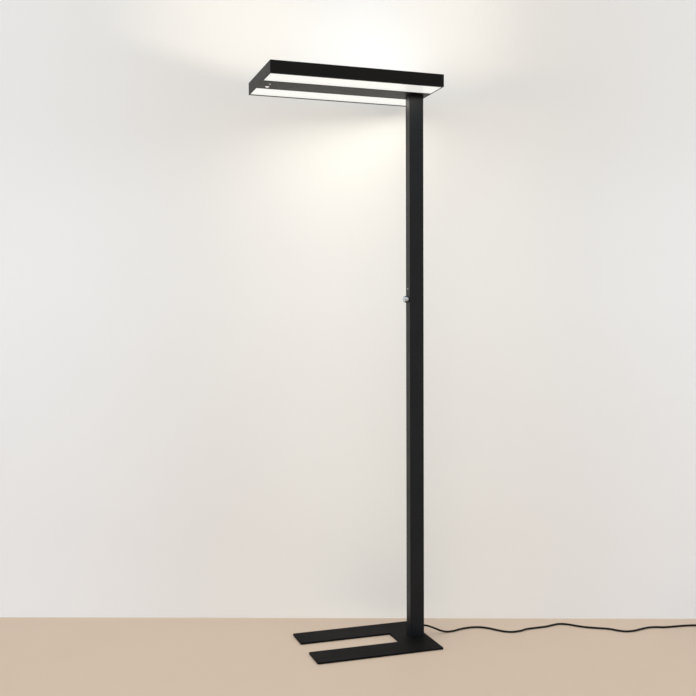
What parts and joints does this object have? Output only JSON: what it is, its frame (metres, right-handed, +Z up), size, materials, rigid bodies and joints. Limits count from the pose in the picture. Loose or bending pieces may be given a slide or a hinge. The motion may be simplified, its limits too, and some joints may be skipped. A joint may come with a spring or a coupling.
{
  "type": "led floor lamp",
  "caption": "Free-standing LED office floor lamp: flat rectangular head lighting up and down, off-centre rectangular post with a push-and-turn dimmer, U-shaped floor plate and mains cord.",
  "frame": {"origin": "on the floor, below the middle of the lamp head", "axes": "+Z up; +X along the head from its free end towards the post; +Y to the far side, with the floor plate's prongs pointing to -X"},
  "size_m": [1.7536, 0.481, 1.95],
  "materials": {
    "coat_steel": "matte black powder coat on steel",
    "coat_alu": "matte black powder coat on aluminium",
    "steel": "zinc plated",
    "alu": "mill finish",
    "chrome": "polished chrome",
    "rubber": "matte black rubber",
    "cord": "black cord sheath, slightly satin",
    "plug": "moulded black",
    "pins": "nickel plated",
    "opal": "opal light panel, lit",
    "tray": "white reflector sheet",
    "led_board": "white circuit board",
    "driver": "white moulded case",
    "board": "green circuit board",
    "pir": "white translucent cap",
    "daylight": "grey translucent lens",
    "lead": "grey insulated wire",
    "dark_plastic": "dark moulded plastic",
    "indicator": "clear light pipe",
    "tie": "black strap"
  },
  "bodies": {
    "lamp": {"base_plate": "coat_steel", "base_pads": "rubber", "base_screws": "steel", "foot_block": "alu", "lower_post": "coat_alu", "post_joiner": "alu", "upper_post": "coat_alu", "post_screws": "coat_steel", "top_block": "alu", "head_flange": "steel", "head_screws": "steel", "spine": "coat_alu", "spine_lid": "coat_steel", "lid_screws": "coat_steel", "rail_near": "coat_alu", "rail_far": "coat_alu", "end_plate_left": "coat_alu", "end_plate_right": "coat_alu", "corner_brackets": "alu", "corner_screws": "steel", "spine_brackets": "alu", "spine_bracket_screws": "steel", "led_tray_near": "tray", "led_tray_far": "tray", "led_board_down_near": "led_board", "led_board_down_far": "led_board", "led_board_up_near": "led_board", "led_board_up_far": "led_board", "diffuser_near": "opal", "diffuser_far": "opal", "uplight_near": "opal", "uplight_far": "opal", "led_driver": "driver", "driver_nuts": "steel", "pir_lens": "pir", "daylight_lens": "daylight", "sensor_board": "board", "mains_lead": "cord", "control_lead": "lead", "led_leads": "lead", "sensor_lead": "lead", "dimmer_body": "dark_plastic", "dimmer_nut": "steel", "dimmer_board": "board", "push_switch": "dark_plastic", "indicator_lens": "indicator", "cord_grommet": "rubber", "cord_run": "cord", "cord_coil": "cord", "cord_tie": "tie", "plug_body": "plug", "plug_pins": "pins"},
    "dimmer_push": {"switch_plunger": "dark_plastic"},
    "dimmer_dial": {"dimmer_shaft": "steel", "dimmer_knob": "chrome", "knob_grub_screw": "steel"}
  },
  "joints": [
    {"name": "knob_push", "type": "slide", "parent": "lamp", "child": "dimmer_push", "axis": [1, 0, 0], "range_m": [0, 0.001], "stiffness_N_per_m": 2000},
    {"name": "knob_turn", "type": "hinge", "parent": "dimmer_push", "child": "dimmer_dial", "pos_m": [0.231, 0, 1.198], "axis": [1, 0, 0], "range_deg": [-150, 150]}
  ]
}
